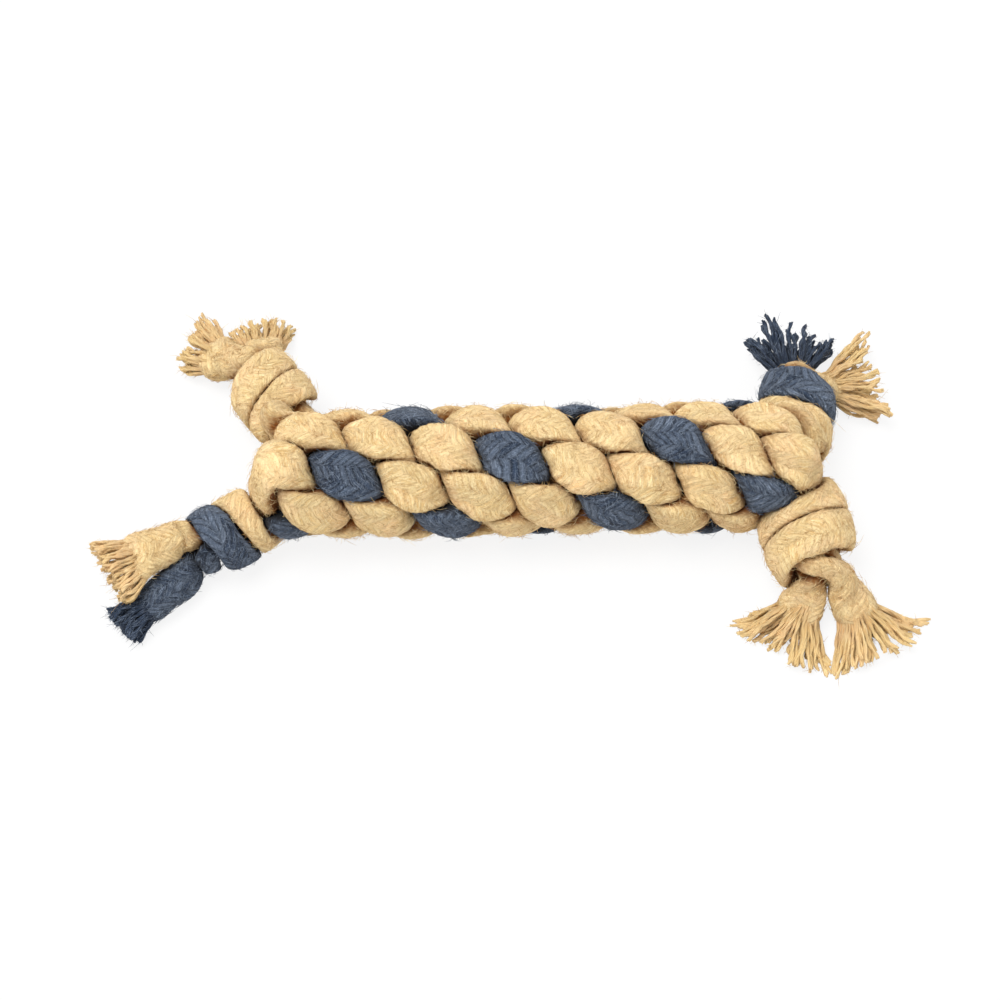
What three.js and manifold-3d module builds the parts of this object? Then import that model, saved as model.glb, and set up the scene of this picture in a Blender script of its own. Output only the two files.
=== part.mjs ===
// Rope dog toy: four soft braided jute cords, one blue and three natural, worked into a round plait.
// The plait is a spiral crown sennit: in each layer every cord lies over its neighbour and under the next.
// At each end the cords leave in two pairs, and each pair is tied in one overhand knot with frayed tails.
// Lengths are in millimetres, X runs along the plait and Z is up.
import * as THREE from "three";
import { mergeVertices } from "three/addons/utils/BufferGeometryUtils.js";
import Module from "manifold-3d";

// The cord: a flat oval when it is pulled round a bend, and how near two cords may come
const cordWidth = 15.5;
const cordThickness = 9;
const cordGap = 0.7;
const ringSpacing = 4.6;
const sampleSpacing = 1.3;
const sectionSides = 8;
const bendShare = 0.85;
const curveDivisions = 20;
const weldDistance = 1e-4;

// The plait: its layers, and the turn of the whole pattern from one layer to the next
const plaitRadius = 19.7;
const layerPitch = 10.1;
const firstLayer = -2;
const lastLayer = 14;
const layerOfOrigin = 5.35;
const layerTurn = THREE.MathUtils.degToRad(141);
const firstTurn = THREE.MathUtils.degToRad(117);
const endSqueeze = 1.8;
const squeezedLayers = 3;
const cordCount = 4;
const shoulderTurn = THREE.MathUtils.degToRad(12);
const shoulderRadiusShare = 0.84;
const shoulderRiseShare = 0.68;

// What the toy rests on: the cords are pressed flat there
const footDepth = 1.1;

// The knots: each is a pair of cords that passes through its own one and a half turns
const knotCoreRadius = 2.5;
const knotHalfLength = 7;
const knotLead = 4;
const knotTurns = 1.5;
const wrapOffset = 4.6;
const knotCrownShare = 0.24;
const coreOffset = 2.5;
const turnInShare = 0.16;
const wrapSteps = 14;

// How much of its width the cord keeps in the plait, in a knot, along a tail and where the tail opens
const plaitWidthShare = 1;
const knotWidthShare = 0.95;
const tailWidthShare = 0.78;
const openWidthShare = 1;

// The frayed ends: each cord opens into its yarns
const yarnLength = 13;
const yarnRadius = 1.5;
const yarnTipRadius = 0.9;
const yarnRoot = 5;
const yarnSides = 4;
const yarnDrop = THREE.MathUtils.degToRad(9);
const yarnPlaceShares = [
  [-1, 0], [-0.5, 1], [0, 1], [0.5, 1], [1, 0], [-0.6, -1], [0, -1], [0.6, -1],
];
const yarnLengthShares = [0.85, 1, 0.9, 1.05, 0.8, 0.95, 0.75, 1];
const yarnAcrossShare = 0.25;
const yarnAboveShare = 0.2;

const bodyHeight = plaitRadius - footDepth;
const boutRadius = plaitRadius - cordThickness / 2;

// Each knot: where it lies from the end of the plait, the way it points and turns, and its wraps' radius
const knots = {
  left_front: { end: -1, reach: [15.3, -14.7], axis: [-0.88, -0.47], turn: 1, wrapRadius: 6.6 },
  left_back: { end: -1, reach: [3.4, 30.3], axis: [-0.55, 0.84], turn: 1, wrapRadius: 7.6 },
  right_back: { end: 1, reach: [3.5, 21.1], axis: [0.1, 0.99], turn: -1, wrapRadius: 7.7 },
  right_front: { end: 1, reach: [4, -20], axis: [0.15, -0.98], turn: 1, wrapRadius: 10 },
};

// Each cord: its colour, its place round the plait, and each end with its knot, its side of the pair,
// a way round another cord between plait and knot, its tail and how wide its yarns spread, in degrees
// The way and the tail are points from the centre of the knot
const cords = [
  {
    name: "blue_cord",
    colour: 0x3d5270,
    place: 0,
    left: {
      knot: "left_front",
      side: -1,
      way: [],
      tail: [[-14, -12, -4.4], [-19, -16, -5], [-25, -21, -5.6]],
      spread: 16,
    },
    right: {
      knot: "right_back",
      side: 1,
      way: [[-4, -14, 1], [0, -10, 4]],
      tail: [[0, 12, 1], [0, 15, 0], [0, 19, -1]],
      spread: 40,
    },
  },
  {
    name: "jute_cord_1",
    colour: 0xd9b983,
    place: 1,
    left: {
      knot: "left_back",
      side: 1,
      way: [],
      tail: [[-10, 11, 1], [-14, 14, -1.5], [-18.5, 17, -3.8]],
      spread: 20,
    },
    right: {
      knot: "right_back",
      side: -1,
      way: [[3, -12, 5], [3, -10, -1]],
      tail: [[8, 10, -2], [12, 11, -4], [16, 12, -5]],
      spread: 36,
    },
  },
  {
    name: "jute_cord_2",
    colour: 0xd2b27c,
    place: 2,
    left: {
      knot: "left_back",
      side: -1,
      way: [],
      tail: [[-3, 13, -1], [-3.5, 16, -3.5], [-4, 20, -5.3]],
      spread: 22,
    },
    right: {
      knot: "right_front",
      side: -1,
      way: [],
      tail: [[2, -14, 0], [0, -18, -4.8], [-3, -23, -8.7]],
      spread: 38,
    },
  },
  {
    name: "jute_cord_3",
    colour: 0xcfae78,
    place: 3,
    left: {
      knot: "left_front",
      side: 1,
      way: [],
      tail: [[-15, -3, 2.5], [-21, -6, 3], [-27, -9, 2.5]],
      spread: 20,
    },
    right: {
      knot: "right_front",
      side: 1,
      way: [],
      tail: [[9, -14, -1], [12, -19, -6], [15, -24, -9.2]],
      spread: 36,
    },
  },
];

// Directions round the plait: zero is along +Y and a quarter turn is up
const roundPlait = (turn) => new THREE.Vector3(0, Math.cos(turn), Math.sin(turn));
const alongPlait = new THREE.Vector3(1, 0, 0);
const up = new THREE.Vector3(0, 0, 1);

function layerX(layer) {
  const squeezed = Math.max(0, layer - (lastLayer - squeezedLayers));
  return (layer - layerOfOrigin) * layerPitch - squeezed * endSqueeze;
}

// A point of the plait with the direction of the cord's wide side and its share of the width
function plaitKey(turn, radius, x, wideTurn, sign) {
  const point = roundPlait(turn).multiplyScalar(radius).addScaledVector(alongPlait, x);
  point.z += bodyHeight;
  return { point, wide: roundPlait(wideTurn).multiplyScalar(sign), full: plaitWidthShare };
}

// The cord's key points through the plait: up along the outside, over one neighbour and under the next
function plaitKeys(place) {
  const keys = [];
  const quarter = Math.PI / 2;
  const shoulderRadius = boutRadius * shoulderRadiusShare;
  const shoulderRise = layerPitch * shoulderRiseShare;
  for (let layer = firstLayer; layer <= lastLayer; layer++) {
    const turn = firstTurn + layer * layerTurn + (place * 2 * Math.PI) / cordCount;
    const x = layerX(layer);
    const sign = layer % 2 === 0 ? 1 : -1;
    const wide = turn + quarter;
    if (layer > firstLayer)
      keys.push(plaitKey(turn - shoulderTurn, shoulderRadius, x - shoulderRise, wide, sign));
    keys.push(plaitKey(turn, boutRadius, x, wide, sign));
    if (layer === lastLayer) break;
    keys.push(plaitKey(turn + shoulderTurn, shoulderRadius, x + shoulderRise, wide, sign));
    const chordRadius = boutRadius * Math.cos(layerTurn / 2);
    const chordX = (x + layerX(layer + 1)) / 2;
    keys.push(plaitKey(turn + layerTurn / 2, chordRadius, chordX, turn + layerTurn / 2, sign));
  }
  return keys;
}

// The centre of the pair in its knot, from the plait's side to the tail
function knotCentreLine(knot) {
  const axis = new THREE.Vector3(knot.axis[0], knot.axis[1], 0).normalize();
  const side = new THREE.Vector3().crossVectors(axis, up);
  const endX = layerX(knot.end < 0 ? firstLayer : lastLayer);
  const height = knot.wrapRadius + cordThickness / 2 - footDepth;
  const centre = new THREE.Vector3(endX + knot.end * knot.reach[0], knot.reach[1], height);
  const total = knotTurns * 2 * Math.PI;
  const firstAngle = Math.PI / 2 - (knot.turn * total) / 2;
  const place = (angle, radius, along) => {
    const out = side.clone().multiplyScalar(Math.cos(angle)).addScaledVector(up, Math.sin(angle));
    return { out, point: centre.clone().addScaledVector(out, radius).addScaledVector(axis, along) };
  };
  const line = [];
  const lead = knotHalfLength + knotLead;
  line.push({ ...place(firstAngle, knotCoreRadius, -knotHalfLength), open: 0 });
  line.push({ ...place(firstAngle, knotCoreRadius, 0), open: 0 });
  for (let step = 0; step <= wrapSteps; step++) {
    const share = step / wrapSteps;
    const nearest = Math.min(share, 1 - share);
    const open = Math.sin((Math.PI / 2) * Math.min(1, nearest / turnInShare));
    const radius = THREE.MathUtils.lerp(knotCoreRadius, knot.wrapRadius, open);
    const along = knotHalfLength * Math.cos(Math.PI * share);
    line.push({ ...place(firstAngle + knot.turn * total * share, radius, along), open });
  }
  const lastAngle = firstAngle + knot.turn * total;
  line.push({ ...place(lastAngle, knotCoreRadius, 0), open: 0 });
  line.push({ ...place(lastAngle, knotCoreRadius, lead), open: 0 });
  return { centre, axis, crown: knot.wrapRadius * knotCrownShare, line };
}

// The outer wraps sink and lean inwards, so the knot is a ball and not a drum
function roundOff({ spot, wide, out, sink }, centre, axis) {
  const halfBall = knotHalfLength + wrapOffset;
  const along = spot.clone().sub(centre).dot(axis) / halfBall;
  spot.addScaledVector(out, -sink * along * along);
  const slope = (-2 * sink * along) / halfBall;
  wide.addScaledVector(out, slope * wide.dot(axis)).normalize();
}

// One cord's key points through its knot and along its tail
function knotKeys({ knot, side, way, tail }) {
  const { centre, axis, crown, line } = knotCentreLine(knots[knot]);
  const keys = line.map(({ point, out, open }, i) => {
    const before = line[Math.max(0, i - 1)].point;
    const after = line[Math.min(line.length - 1, i + 1)].point;
    const travel = after.clone().sub(before).normalize();
    const wide = new THREE.Vector3().crossVectors(out, travel).normalize();
    const offset = THREE.MathUtils.lerp(coreOffset, wrapOffset, open);
    const spot = point.clone().addScaledVector(wide, side * offset);
    roundOff({ spot, wide, out, sink: crown * open }, centre, axis);
    return { point: spot, wide, full: knotWidthShare };
  });
  way.toReversed().forEach(([x, y, z]) => {
    const point = centre.clone().add(new THREE.Vector3(x, y, z));
    keys.unshift({ point, wide: keys[0].wide, full: knotWidthShare });
  });
  tail.forEach(([x, y, z], i) => {
    const point = centre.clone().add(new THREE.Vector3(x, y, z));
    const before = keys[keys.length - 1].point;
    const travel = point.clone().sub(before).normalize();
    const flat = new THREE.Vector3().crossVectors(up, travel).normalize();
    if (flat.dot(keys[keys.length - 1].wide) < 0) flat.negate();
    const share = (i + 1) / tail.length;
    const full = i === tail.length - 1 ? openWidthShare : tailWidthShare;
    keys.push({ point, wide: keys[keys.length - 1].wide.clone().lerp(flat, share).normalize(), full });
  });
  return keys;
}

// Wide directions are turned to agree with the key before them, since a cord's oval has no front
function sameWay(keys) {
  keys.forEach((key, i) => {
    if (i > 0 && key.wide.dot(keys[i - 1].wide) < 0) key.wide.negate();
  });
  return keys;
}

// A cord as close samples: centre, direction, wide and thin side, and bend
function sampleCord({ place, left, right }) {
  const keys = sameWay([...knotKeys(left).reverse(), ...plaitKeys(place), ...knotKeys(right)]);
  const curve = new THREE.CatmullRomCurve3(keys.map((key) => key.point), false, "centripetal");
  curve.arcLengthDivisions = keys.length * curveDivisions;
  const length = curve.getLength();
  const count = Math.round(length / sampleSpacing);
  const samples = [];
  for (let i = 0; i <= count; i++) {
    const t = curve.getUtoTmapping(i / count);
    const at = t * (keys.length - 1);
    const from = Math.min(keys.length - 2, Math.floor(at));
    const centre = curve.getPoint(t);
    const along = curve.getTangent(t);
    const wide = keys[from].wide.clone().lerp(keys[from + 1].wide, at - from);
    wide.addScaledVector(along, -wide.dot(along)).normalize();
    const thin = new THREE.Vector3().crossVectors(along, wide);
    const full = THREE.MathUtils.lerp(keys[from].full, keys[from + 1].full, at - from);
    samples.push({ centre, along, wide, thin, full, arc: (i / count) * length });
  }
  samples.forEach((sample, i) => {
    const before = samples[Math.max(0, i - 1)];
    const after = samples[Math.min(count, i + 1)];
    sample.bend = after.along.clone().sub(before.along).divideScalar(after.arc - before.arc);
  });
  return { length, samples };
}

// The samples that can press on a cord's skin at one place: all other cords, and its own far stretches
const pressWidthsShare = 2;
const ownStretchShare = 1.3;
const pressDistance = cordWidth * pressWidthsShare;
const ownStretch = cordWidth * ownStretchShare;
function pressingSamples(cord, sample, all) {
  const found = [];
  for (const other of all)
    for (const near of other.samples) {
      if (other === cord && Math.abs(near.arc - sample.arc) < ownStretch) continue;
      const apart = near.centre.clone().sub(sample.centre);
      const distance = apart.length();
      if (distance < pressDistance) found.push({ apart, distance });
    }
  return found;
}

// How far the skin reaches in one direction: the cord's own oval, or half the way to what presses on it
function skinReach(sample, toward, oval, pressing) {
  let reach = oval;
  const bend = sample.bend.dot(toward);
  if (bend > 0) reach = Math.min(reach, bendShare / bend);
  for (const { apart, distance } of pressing) {
    const facing = apart.dot(toward);
    if (facing > 0) reach = Math.min(reach, ((distance - cordGap) * distance) / (2 * facing));
  }
  return Math.max(reach, cordGap);
}

// The direction of one of the finer corners round a sample, and the oval's size there
const fineSides = 2 * sectionSides;
function ovalCorner(sample, fineSide) {
  const angle = (fineSide * 2 * Math.PI) / fineSides;
  const width = cordWidth * sample.full;
  const toward = sample.wide.clone().multiplyScalar((Math.cos(angle) * width) / 2);
  toward.addScaledVector(sample.thin, (Math.sin(angle) * cordThickness) / 2);
  const oval = toward.length();
  return { toward: toward.divideScalar(oval), oval };
}

// The rings of a cord's skin: each corner keeps within what its finer neighbours round the ring and
// along the cord allow, so that the flat facets between the corners stay clear too
const heedRings = 1;
function cordRings(cord, all) {
  const fine = cord.samples.map((sample) => {
    const pressing = pressingSamples(cord, sample, all);
    const reaches = [];
    for (let side = 0; side < fineSides; side++) {
      const { toward, oval } = ovalCorner(sample, side);
      reaches.push(skinReach(sample, toward, oval, pressing) / oval);
    }
    return reaches;
  });
  const step = Math.round(ringSpacing / sampleSpacing);
  const last = cord.samples.length - 1;
  const picked = [];
  for (let i = 0; last - i >= step; i += step) picked.push(i);
  picked.push(last);
  return picked.map((i) => {
    const { centre } = cord.samples[i];
    const heeded = fine.slice(Math.max(0, i - heedRings), i + heedRings + 1);
    return Array.from({ length: sectionSides }, (_, side) => {
      const corner = 2 * side + 1;
      const before = corner - 1;
      const after = (corner + 1) % fineSides;
      const own = Math.min(...heeded.map((reaches) => reaches[corner]));
      const beside = Math.min(...heeded.map((reaches) => Math.min(reaches[before], reaches[after])));
      const share = Math.min(own, (own + beside) / 2);
      const { toward, oval } = ovalCorner(cord.samples[i], corner);
      const toFloor = toward.z < 0 ? centre.z / -toward.z : Infinity;
      return centre.clone().addScaledVector(toward, Math.min(oval * share, toFloor));
    });
  });
}

// A closed skin through rings of points, with flat ends
function skin(rings) {
  const sides = rings[0].length;
  const points = rings.flat();
  const index = [];
  for (let i = 0; i < rings.length - 1; i++)
    for (let side = 0; side < sides; side++) {
      const next = (side + 1) % sides;
      const [a, b] = [i * sides + side, i * sides + next];
      const [c, d] = [a + sides, b + sides];
      index.push(a, b, d, a, d, c);
    }
  const last = (rings.length - 1) * sides;
  for (let side = 1; side < sides - 1; side++) {
    index.push(0, side + 1, side);
    index.push(last, last + side, last + side + 1);
  }
  const geometry = new THREE.BufferGeometry().setFromPoints(points);
  geometry.setIndex(index);
  return geometry;
}

// The yarns of a frayed end fan out from the last stretch of the cord
function yarns(end, outward, spread) {
  const made = [];
  yarnPlaceShares.forEach(([across, above], i) => {
    const root = end.centre.clone().addScaledVector(end.flat, across * cordWidth * yarnAcrossShare);
    root.addScaledVector(end.rise, above * cordThickness * yarnAboveShare);
    const length = yarnLength * yarnLengthShares[i];
    const swing = across * THREE.MathUtils.degToRad(spread);
    const tip = root.clone().addScaledVector(outward, length * Math.cos(swing));
    tip.addScaledVector(end.flat, length * Math.sin(swing));
    tip.addScaledVector(end.rise, length * Math.sin(above * yarnDrop));
    const start = root.clone().addScaledVector(outward, -yarnRoot);
    const middle = root.clone().add(tip).divideScalar(2).addScaledVector(outward, yarnRadius);
    const path = [start, root, middle, tip];
    const rings = path.map((point, step) => {
      const radius = step === path.length - 1 ? yarnTipRadius : yarnRadius;
      point.z = Math.max(point.z, radius * Math.SQRT1_2);
      const ring = [];
      for (let side = 0; side < yarnSides; side++) {
        const angle = ((2 * side + 1) * Math.PI) / yarnSides;
        const corner = point.clone().addScaledVector(end.flat, radius * Math.cos(angle));
        corner.addScaledVector(end.rise, radius * Math.sin(angle));
        corner.z = Math.max(corner.z, 0);
        ring.push(corner);
      }
      return ring;
    });
    made.push(skin(rings));
  });
  return made;
}

// The frame at a cord's end: across it lies level, and it rises square to that
function endFrame(sample, outward) {
  const flat = new THREE.Vector3().crossVectors(up, outward).normalize();
  const rise = new THREE.Vector3().crossVectors(outward, flat);
  return { centre: sample.centre, flat, rise };
}

const wasm = await Module();
wasm.setup();

function solidOf(geometry) {
  const merged = mergeVertices(geometry, weldDistance);
  const solid = new wasm.Manifold(
    new wasm.Mesh({
      numProp: 3,
      vertProperties: merged.attributes.position.array,
      triVerts: new Uint32Array(merged.index.array),
    }),
  );
  return solid;
}

function geometryOf(solid) {
  const mesh = solid.getMesh();
  const geometry = new THREE.BufferGeometry();
  geometry.setAttribute("position", new THREE.BufferAttribute(mesh.vertProperties, mesh.numProp));
  geometry.setIndex(new THREE.BufferAttribute(mesh.triVerts, 1));
  geometry.computeVertexNormals();
  return geometry;
}

// The least distance between the corners of a cord's skin that lie far apart along it
function leastOwnGap(rings) {
  const farRings = Math.ceil(ownStretch / ringSpacing) + 1;
  let least = Infinity;
  rings.forEach((ring, i) => {
    rings.slice(i + farRings).forEach((other) => {
      for (const a of ring) for (const b of other) least = Math.min(least, a.distanceTo(b));
    });
  });
  return least;
}

const toy = new THREE.Group();
const laid = cords.map((cord) => ({ ...cord, ...sampleCord(cord) }));
for (const cord of laid) {
  const rings = cordRings(cord, laid);
  let solid = solidOf(skin(rings));
  const first = cord.samples[0];
  const last = cord.samples[cord.samples.length - 1];
  const ends = [
    [first, first.along.clone().negate(), cord.left.spread],
    [last, last.along.clone(), cord.right.spread],
  ];
  for (const [sample, outward, spread] of ends)
    for (const yarn of yarns(endFrame(sample, outward), outward, spread)) solid = solid.add(solidOf(yarn));
  const material = new THREE.MeshStandardMaterial({ color: cord.colour, roughness: 0.95, metalness: 0 });
  const mesh = new THREE.Mesh(geometryOf(solid), material);
  mesh.name = cord.name;
  toy.add(mesh);
  const gap = leastOwnGap(rings).toFixed(2);
  console.log(`${cord.name}: ${cord.length.toFixed(0)} long, least gap to itself ${gap}`);
}

// The origin is under the middle of the whole toy, on the surface that it lies on
const box = new THREE.Box3().setFromObject(toy);
toy.position.set(-(box.min.x + box.max.x) / 2, -(box.min.y + box.max.y) / 2, 0);

export default toy;
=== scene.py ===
# %% [markdown]
# A rope dog toy: four soft braided cords, one blue and three natural jute, worked into a round
# plait, with two knots and four frayed tails at each end. The simple solids of the cords come in
# first as the frame. The lesson then lays the same cords again with fine skins, braid and fluff.

import math

import bmesh
import bpy
import numpy as np
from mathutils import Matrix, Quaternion, Vector


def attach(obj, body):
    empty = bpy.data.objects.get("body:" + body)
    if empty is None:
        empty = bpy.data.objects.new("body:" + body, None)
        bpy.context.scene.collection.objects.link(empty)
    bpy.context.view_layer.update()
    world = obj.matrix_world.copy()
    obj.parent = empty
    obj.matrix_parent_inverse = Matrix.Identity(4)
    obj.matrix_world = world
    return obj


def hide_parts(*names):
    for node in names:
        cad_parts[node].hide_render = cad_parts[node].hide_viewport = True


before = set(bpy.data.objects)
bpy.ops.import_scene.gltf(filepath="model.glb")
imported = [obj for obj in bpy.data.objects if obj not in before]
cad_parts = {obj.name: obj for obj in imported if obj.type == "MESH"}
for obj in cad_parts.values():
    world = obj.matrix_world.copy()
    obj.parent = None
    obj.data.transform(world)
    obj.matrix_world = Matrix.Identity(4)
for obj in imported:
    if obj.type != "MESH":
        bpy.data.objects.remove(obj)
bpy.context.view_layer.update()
MM = 0.001

# %% [markdown]
# The photograph looks down on the toy from the front, steeply, through a long lens. The camera
# aims a little in front of the plait's axis, because the plait lies above the picture's middle.

# %% Camera
AIM = Vector((0.0, -12.7, 18.6)) * MM
CAMERA_ELEVATION = math.radians(65)
CAMERA_ROLL = math.radians(-1.1)
CAMERA_DISTANCE = 0.9
LENS = 106
SENSOR = 36


def place_camera():
    camera = bpy.data.objects.new("camera", bpy.data.cameras.new("camera"))
    bpy.context.scene.collection.objects.link(camera)
    camera.data.lens = LENS
    camera.data.sensor_width = SENSOR
    back = Vector((0, -math.cos(CAMERA_ELEVATION), math.sin(CAMERA_ELEVATION)))
    camera.location = AIM + back * CAMERA_DISTANCE
    turn = (-back).to_track_quat("-Z", "Y") @ Quaternion((0, 0, 1), CAMERA_ROLL)
    camera.rotation_euler = turn.to_euler()
    bpy.context.scene.camera = camera
    return camera


camera = place_camera()
print("camera at", [round(v, 3) for v in camera.location])

# %% [markdown]
# The plait is a spiral crown: in each layer every cord climbs the outside over its neighbour,
# then crosses the middle under the next one, and the whole pattern turns by 141 degrees. It could
# be one relief on a cylinder, but then the cords would have no way through the middle. Here each
# cord is laid along key points, by the same sizes as the frame's solids, in millimetres. A key
# point has its place, the direction of the cord's wide side, and its fullness there, which is a
# share of the width that a free cord has.

# %% Sizes of the plait
CORD_THICKNESS = 9.0
PLAIT_RADIUS = 19.7
LAYER_PITCH = 10.1
FIRST_LAYER, LAST_LAYER = -2, 14
LAYER_OF_ORIGIN = 5.35
LAYER_TURN = math.radians(141)
FIRST_TURN = math.radians(117)
END_SQUEEZE = 1.8
SQUEEZED_LAYERS = 3
FOOT_DEPTH = 1.1
SHOULDER_TURN = math.radians(12)
SHOULDER_RADIUS_SHARE = 0.84
SHOULDER_RISE = LAYER_PITCH * 0.68
BODY_HEIGHT = PLAIT_RADIUS - FOOT_DEPTH
BOUT_RADIUS = PLAIT_RADIUS - CORD_THICKNESS / 2
PLAIT_FULLNESS = 1.0
print("the plait is", 2 * PLAIT_RADIUS, "mm thick")

# %% Key points through the plait


def round_plait(turn):
    return np.array((0.0, math.cos(turn), math.sin(turn)))


def layer_x(layer):
    squeezed = max(0, layer - (LAST_LAYER - SQUEEZED_LAYERS))
    return (layer - LAYER_OF_ORIGIN) * LAYER_PITCH - squeezed * END_SQUEEZE


def plait_key(turn, radius, x, wide_turn, sign):
    point = round_plait(turn) * radius + (x, 0, BODY_HEIGHT)
    return point, round_plait(wide_turn) * sign, PLAIT_FULLNESS


def plait_keys(place):
    keys = []
    shoulder = BOUT_RADIUS * SHOULDER_RADIUS_SHARE
    for layer in range(FIRST_LAYER, LAST_LAYER + 1):
        turn = FIRST_TURN + layer * LAYER_TURN + place * math.pi / 2
        x = layer_x(layer)
        sign = 1 if layer % 2 == 0 else -1
        wide = turn + math.pi / 2
        if layer > FIRST_LAYER:
            keys.append(plait_key(turn - SHOULDER_TURN, shoulder, x - SHOULDER_RISE, wide, sign))
        keys.append(plait_key(turn, BOUT_RADIUS, x, wide, sign))
        if layer == LAST_LAYER:
            break
        keys.append(plait_key(turn + SHOULDER_TURN, shoulder, x + SHOULDER_RISE, wide, sign))
        chord = turn + LAYER_TURN / 2
        chord_radius = BOUT_RADIUS * math.cos(LAYER_TURN / 2)
        keys.append(plait_key(chord, chord_radius, (x + layer_x(layer + 1)) / 2, chord, sign))
    return keys


print("key points through the plait:", len(plait_keys(0)))

# %% [markdown]
# Each knot ties a pair of cords: the pair enters along the knot's axis, wraps one and a half
# turns back over itself, and passes out through its own wraps. The two cords lie side by side.
# A knot has the plait's end it is at, its reach from there, the way of its axis, which way round
# it turns and how wide its wraps are. Its last three values are for its two tails: how far the
# braid goes on past the last point, how far the yarns reach past the braid, and how many they are.

# %% The four knots
KNOTS = {
    "left_front": {
        "end": -1, "reach": (15.3, -14.7), "axis": (-0.88, -0.47), "turn": 1, "wrap": 6.6,
        "flare": 8, "loose": 4.5, "yarns": 78,
    },
    "left_back": {
        "end": -1, "reach": (3.4, 30.3), "axis": (-0.55, 0.84), "turn": 1, "wrap": 7.6,
        "flare": 6, "loose": 4.5, "yarns": 78,
    },
    "right_back": {
        "end": 1, "reach": (3.5, 21.1), "axis": (0.1, 0.99), "turn": -1, "wrap": 7.7,
        "flare": 0, "loose": 10.5, "yarns": 72,
    },
    "right_front": {
        "end": 1, "reach": (4, -20), "axis": (0.15, -0.98), "turn": 1, "wrap": 10.0,
        "flare": 5, "loose": 9, "yarns": 108,
    },
}
print("knots:", ", ".join(KNOTS))

# %% Key points through a knot
KNOT_CORE_RADIUS = 2.5
KNOT_HALF_LENGTH = 7.0
KNOT_LEAD = 4.0
KNOT_TURNS = 1.5
TURN_IN_SHARE = 0.16
WRAP_STEPS = 14
WRAP_OFFSET = 4.6
UP = np.array((0.0, 0.0, 1.0))


def unit(v):
    return v / np.linalg.norm(v, axis=-1, keepdims=True)


def knot_line(knot):
    axis = unit(np.array((*knot["axis"], 0.0)))
    side = np.cross(axis, UP)
    end_x = layer_x(FIRST_LAYER if knot["end"] < 0 else LAST_LAYER)
    reach, wrap, half = knot["reach"], knot["wrap"], KNOT_HALF_LENGTH
    height = wrap + CORD_THICKNESS / 2 - FOOT_DEPTH
    centre = np.array((end_x + knot["end"] * reach[0], reach[1], height))
    total = KNOT_TURNS * 2 * math.pi
    first = math.pi / 2 - knot["turn"] * total / 2

    def spot(angle, radius, along, opened):
        out = side * math.cos(angle) + UP * math.sin(angle)
        return centre + out * radius + axis * along, out, opened

    line = [spot(first, KNOT_CORE_RADIUS, -half, 0), spot(first, KNOT_CORE_RADIUS, 0, 0)]
    for step in range(WRAP_STEPS + 1):
        share = step / WRAP_STEPS
        opened = math.sin(math.pi / 2 * min(1, min(share, 1 - share) / TURN_IN_SHARE))
        radius = KNOT_CORE_RADIUS + (wrap - KNOT_CORE_RADIUS) * opened
        along = half * math.cos(math.pi * share)
        line.append(spot(first + knot["turn"] * total * share, radius, along, opened))
    last = first + knot["turn"] * total
    line.append(spot(last, KNOT_CORE_RADIUS, 0, 0))
    line.append(spot(last, KNOT_CORE_RADIUS, half + KNOT_LEAD, 0))
    return centre, axis, line


def rounded_off(point, wide, out, sink, centre, axis):
    half_ball = KNOT_HALF_LENGTH + WRAP_OFFSET
    along = (point - centre) @ axis / half_ball
    slope = -2 * sink * along / half_ball
    return point - out * sink * along**2, unit(wide + out * slope * (wide @ axis))


print("points on the line of a knot:", len(knot_line(KNOTS["left_front"])[2]))

# %% [markdown]
# Each cord goes from a knot at the left, through the plait, to a knot at the right. The end at a
# knot has its side of the pair, its way round another cord on the way in, and the points of its
# tail, all from the knot's centre. Then come the spread of its yarns, in degrees, and how full the
# braid is where they come out. The photograph decides these, one end at a time.

# %% The four cords
CORDS = {
    "blue_cord": {
        "place": 0,
        "left": {
            "knot": "left_front", "side": -1, "way": [],
            "tail": [(-14, -12, -4.4), (-19, -16, -5), (-25, -21, -5.6)],
            "spread": 14, "fullness": 0.6,
        },
        "right": {
            "knot": "right_back", "side": 1, "way": [(-4, -14, 1), (0, -10, 4)],
            "tail": [(0, 12, 1), (0, 15, 0), (0, 19, -1)],
            "spread": 40, "fullness": 0.86,
        },
    },
    "jute_cord_1": {
        "place": 1,
        "left": {
            "knot": "left_back", "side": 1, "way": [],
            "tail": [(-10, 11, 1), (-14, 14, -1.5), (-18.5, 17, -3.8)],
            "spread": 22, "fullness": 0.93,
        },
        "right": {
            "knot": "right_back", "side": -1, "way": [(3, -12, 5), (3, -10, -1)],
            "tail": [(8, 10, -2), (12, 11, -4), (16, 12, -5)],
            "spread": 36, "fullness": 0.86,
        },
    },
    "jute_cord_2": {
        "place": 2,
        "left": {
            "knot": "left_back", "side": -1, "way": [],
            "tail": [(-3, 13, -1), (-3.5, 16, -3.5), (-4, 20, -5.3)],
            "spread": 26, "fullness": 0.95,
        },
        "right": {
            "knot": "right_front", "side": -1, "way": [],
            "tail": [(2, -14, 0), (0, -18, -4.8), (-3, -23, -8.7)],
            "spread": 56, "fullness": 1.0,
        },
    },
    "jute_cord_3": {
        "place": 3,
        "left": {
            "knot": "left_front", "side": 1, "way": [],
            "tail": [(-15, -3, 2.5), (-21, -6, 3), (-27, -9, 2.5)],
            "spread": 22, "fullness": 1.1,
        },
        "right": {
            "knot": "right_front", "side": 1, "way": [],
            "tail": [(9, -14, -1), (12, -19, -6), (15, -24, -9.2)],
            "spread": 54, "fullness": 1.0,
        },
    },
}
print("cords:", ", ".join(CORDS))

# %% Key points along a tail
TAIL_FULLNESS = 0.66
FLARE_FULLNESS = 0.86


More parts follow.
